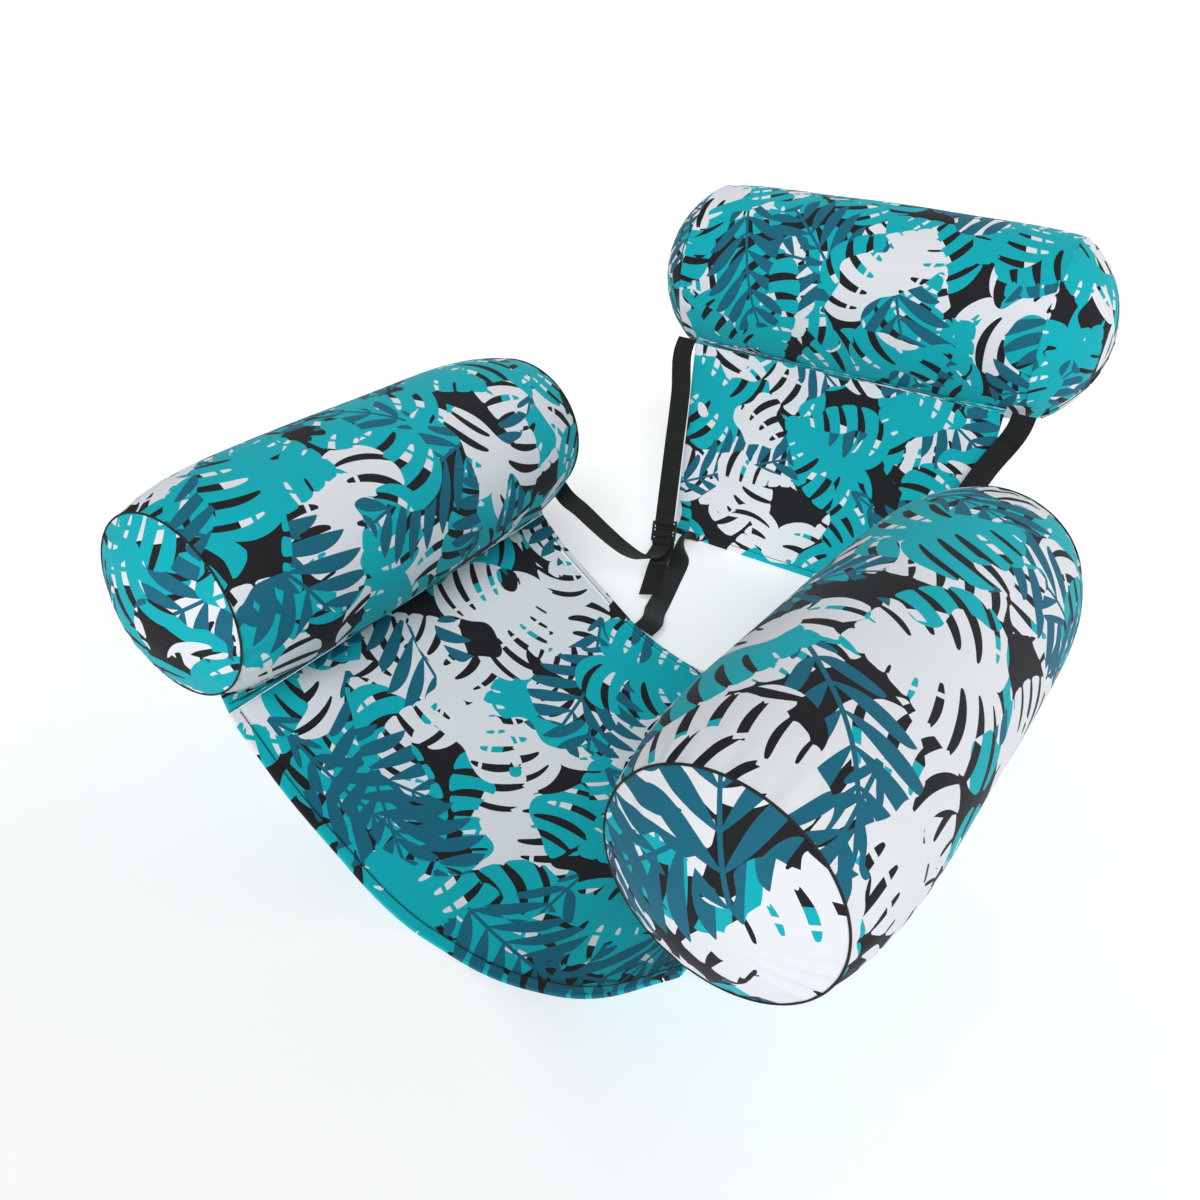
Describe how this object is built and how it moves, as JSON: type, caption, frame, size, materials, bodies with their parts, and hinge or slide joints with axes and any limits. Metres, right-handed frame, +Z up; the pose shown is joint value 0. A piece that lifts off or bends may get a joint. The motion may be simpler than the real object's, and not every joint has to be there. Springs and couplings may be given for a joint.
{
  "type": "inflatable pool chair",
  "caption": "Floating pool chair: two cloth-covered inflatable arm bolsters with a cloth sling seat, tied by webbing to a cloth back under an inflatable headrest bolster.",
  "frame": {"origin": "on the ground, under the middle of the bounding box; the seat sling's flat foot and the back panel's lower hem rest on it", "axes": "+Z up, -Y to the front, where the sitter's legs go, +X to the sitter's left as seen from the front"},
  "size_m": [0.8104, 1.1031, 0.519],
  "materials": {
    "printed_cloth": "matte",
    "bladder_film": "satin",
    "valve_plastic": "satin",
    "zip_coil": "matte",
    "zip_metal": "satin",
    "webbing": "matte",
    "buckle_plastic": "satin"
  },
  "bodies": {
    "seat": {"seat_panel": "printed_cloth"},
    "left_arm": {"left_arm_sleeve": "printed_cloth", "left_arm_front_panel": "printed_cloth", "left_arm_rear_panel": "printed_cloth", "left_arm_seat_seam": "printed_cloth", "left_arm_bladder": "bladder_film", "left_arm_valve": "valve_plastic", "left_arm_zip": "zip_coil", "left_arm_strap": "webbing"},
    "left_arm_cap": {"left_arm_valve_cap": "valve_plastic"},
    "left_arm_slider": {"left_arm_zip_slider": "zip_metal"},
    "left_arm_pull": {"left_arm_zip_pull": "zip_metal"},
    "right_arm": {"right_arm_sleeve": "printed_cloth", "right_arm_front_panel": "printed_cloth", "right_arm_rear_panel": "printed_cloth", "right_arm_seat_seam": "printed_cloth", "right_arm_bladder": "bladder_film", "right_arm_valve": "valve_plastic", "right_arm_zip": "zip_coil", "right_arm_strap": "webbing"},
    "right_arm_cap": {"right_arm_valve_cap": "valve_plastic"},
    "right_arm_slider": {"right_arm_zip_slider": "zip_metal"},
    "right_arm_pull": {"right_arm_zip_pull": "zip_metal"},
    "links": {"left_link_strap": "webbing", "right_link_strap": "webbing"},
    "back": {"back_panel": "printed_cloth"},
    "headrest": {"headrest_sleeve": "printed_cloth", "headrest_left_panel": "printed_cloth", "headrest_right_panel": "printed_cloth", "headrest_back_seam": "printed_cloth", "headrest_bladder": "bladder_film", "headrest_valve": "valve_plastic", "headrest_zip": "zip_coil", "left_head_strap": "webbing", "right_head_strap": "webbing"},
    "headrest_cap": {"headrest_valve_cap": "valve_plastic"},
    "headrest_slider": {"headrest_zip_slider": "zip_metal"},
    "headrest_pull": {"headrest_zip_pull": "zip_metal"},
    "left_lock": {"left_ladder_lock": "buckle_plastic"},
    "right_lock": {"right_ladder_lock": "buckle_plastic"}
  },
  "joints": [
    {"name": "left_arm_fold", "type": "hinge", "parent": "seat", "child": "left_arm", "pos_m": [-0.24557, -0.25141, 0.14483], "axis": [-0.0419, 0.9991, 0], "range_deg": [-20, 35], "deforming": ["left_arm_strap"]},
    {"name": "right_arm_fold", "type": "hinge", "parent": "seat", "child": "right_arm", "pos_m": [0.26735, -0.25141, 0.13823], "axis": [-0.0419, -0.9991, 0], "range_deg": [-20, 35], "deforming": ["right_arm_strap"]},
    {"name": "link_swing", "type": "hinge", "parent": "seat", "child": "links", "pos_m": [0, 0.01119, 0.0268], "axis": [1, 0, 0], "range_deg": [-8, 9], "deforming": ["left_head_strap", "right_head_strap"]},
    {"name": "back_recline", "type": "hinge", "parent": "links", "child": "back", "pos_m": [0, 0.32669, 0.003], "axis": [1, 0, 0], "range_deg": [-40, 16], "deforming": ["left_head_strap", "right_head_strap"]},
    {"name": "headrest_tilt", "type": "hinge", "parent": "back", "child": "headrest", "pos_m": [0, 0.34078, 0.3082], "axis": [1, 0, 0], "range_deg": [-18, 30], "deforming": ["left_head_strap", "right_head_strap"]},
    {"name": "left_strap_adjust", "type": "slide", "parent": "seat", "child": "left_lock", "axis": [-0.2543, 0.5452, 0.7988], "range_m": [-0.01, 0.03], "deforming": ["left_head_strap", "left_arm_strap"]},
    {"name": "right_strap_adjust", "type": "slide", "parent": "seat", "child": "right_lock", "axis": [0.2543, 0.5452, 0.7988], "range_m": [-0.01, 0.03], "deforming": ["right_head_strap", "right_arm_strap"]},
    {"name": "left_arm_zip_run", "type": "hinge", "parent": "left_arm", "child": "left_arm_slider", "pos_m": [-0.29612, -0.1054, 0.252], "axis": [-0.9991, -0.0419, 0], "range_deg": [0, 55]},
    {"name": "left_arm_pull_lift", "type": "hinge", "parent": "left_arm_slider", "child": "left_arm_pull", "pos_m": [-0.30199, 0.0347, 0.32665], "axis": [0.9991, 0.0419, 0], "range_deg": [0, 100]},
    {"name": "left_arm_cap_pull", "type": "slide", "parent": "left_arm", "child": "left_arm_cap", "axis": [-0.0419, 0.9991, 0], "range_m": [0, 0.008]},
    {"name": "right_arm_zip_run", "type": "hinge", "parent": "right_arm", "child": "right_arm_slider", "pos_m": [0.29612, -0.1054, 0.252], "axis": [-0.9991, 0.0419, 0], "range_deg": [0, 55]},
    {"name": "right_arm_pull_lift", "type": "hinge", "parent": "right_arm_slider", "child": "right_arm_pull", "pos_m": [0.30199, 0.0347, 0.32665], "axis": [0.9991, -0.0419, 0], "range_deg": [0, 100]},
    {"name": "right_arm_cap_pull", "type": "slide", "parent": "right_arm", "child": "right_arm_cap", "axis": [0.0419, 0.9991, 0], "range_m": [0, 0.008]},
    {"name": "headrest_zip_run", "type": "hinge", "parent": "headrest", "child": "headrest_slider", "pos_m": [0.17811, 0.43059, 0.398], "axis": [0, 0.788, -0.6157], "range_deg": [0, 93]},
    {"name": "headrest_pull_lift", "type": "hinge", "parent": "headrest_slider", "child": "headrest_pull", "pos_m": [0.26926, 0.51754, 0.45407], "axis": [0.1682, -0.6527, 0.7387], "range_deg": [0, 100]},
    {"name": "headrest_cap_pull", "type": "slide", "parent": "headrest", "child": "headrest_cap", "axis": [1, 0, 0], "range_m": [0, 0.008]}
  ]
}
